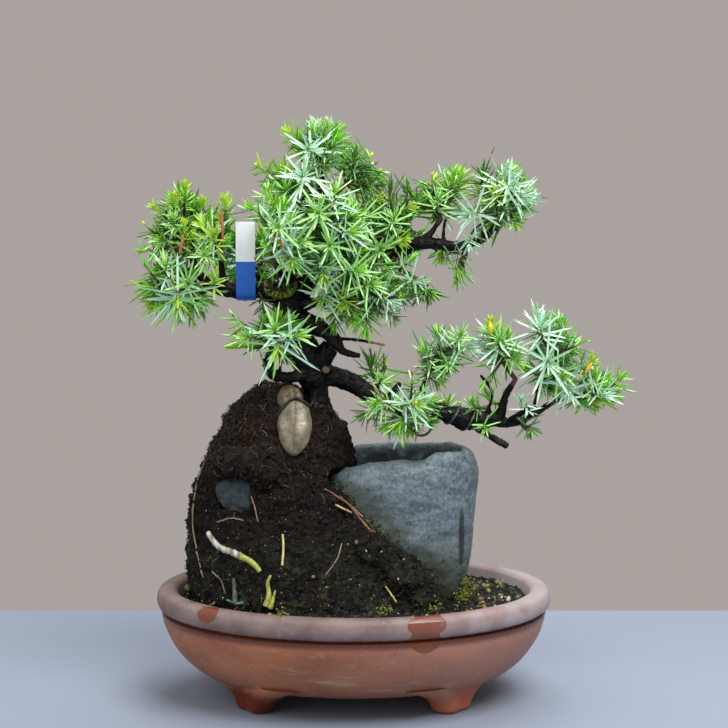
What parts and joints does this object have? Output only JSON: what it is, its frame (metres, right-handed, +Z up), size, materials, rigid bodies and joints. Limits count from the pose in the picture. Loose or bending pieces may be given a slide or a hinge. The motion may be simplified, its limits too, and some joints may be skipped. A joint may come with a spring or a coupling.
{
  "type": "potted needle juniper bonsai",
  "caption": "Needle juniper bonsai rooted on a peat mound beside a hollowed stone, standing in an oval footed clay pot.",
  "frame": {"origin": "middle of the bounding box, on the level that the pot's feet stand on", "axes": "+Z up, +X to the viewer's right along the oval pot, -Y towards the front of the tree"},
  "size_m": [0.227, 0.143, 0.2649],
  "materials": {
    "clay": "unglazed reddish-brown stoneware with a greyish bloom on the lip",
    "soil": "dark granular potting soil with pale grit",
    "peat": "moist black peat full of brown fibres",
    "stone": "blue-grey water-worn stone with pits",
    "pebble": "mottled tan pebble",
    "bark": "near-black wet bark",
    "dead_wood": "weathered dark dead wood",
    "needles": "fresh green needles with a silvery band",
    "wire": "dull grey training wire",
    "label": "blank plastic strip, white above and blue below"
  },
  "bodies": {
    "root": {"pot": "clay", "soil": "soil", "mound": "peat", "hollowed_stone": "stone", "embedded_stone": "stone", "tied_pebble": "pebble", "tie_wire": "wire", "training_wire": "wire", "label_strip": "label", "trunk": "bark", "bough_right_low": "bark", "bough_right_high": "bark", "bough_left": "bark", "bough_loop": "bark", "bough_front": "bark", "bough_centre": "bark", "bough_low": "bark", "bough_back": "bark", "bough_back_left": "bark", "bough_back_right": "bark", "twig_high": "bark", "twig_upright": "bark", "twig_low_inner": "bark", "twig_arch": "bark", "twig_low_middle": "bark", "twig_low_outer": "bark", "dead_hook": "dead_wood", "dead_twig": "dead_wood", "dead_stub_low": "dead_wood", "dead_stub_short": "dead_wood", "needles_apex": "needles", "needles_apex_right": "needles", "needles_upper_left": "needles", "needles_front_left": "needles", "needles_centre": "needles", "needles_centre_right": "needles", "needles_low_centre": "needles", "needles_right_small": "needles", "needles_left_top": "needles", "needles_left_low": "needles", "needles_left_near": "needles", "needles_high_inner": "needles", "needles_high_outer": "needles", "needles_high_hanging": "needles", "needles_loop": "needles", "needles_low_front": "needles", "needles_low_behind": "needles", "needles_low_inner": "needles", "needles_low_middle": "needles", "needles_low_outer": "needles", "needles_low_tip": "needles", "needles_low_under": "needles", "needles_back": "needles", "needles_back_left": "needles", "needles_back_right": "needles"}
  },
  "joints": []
}
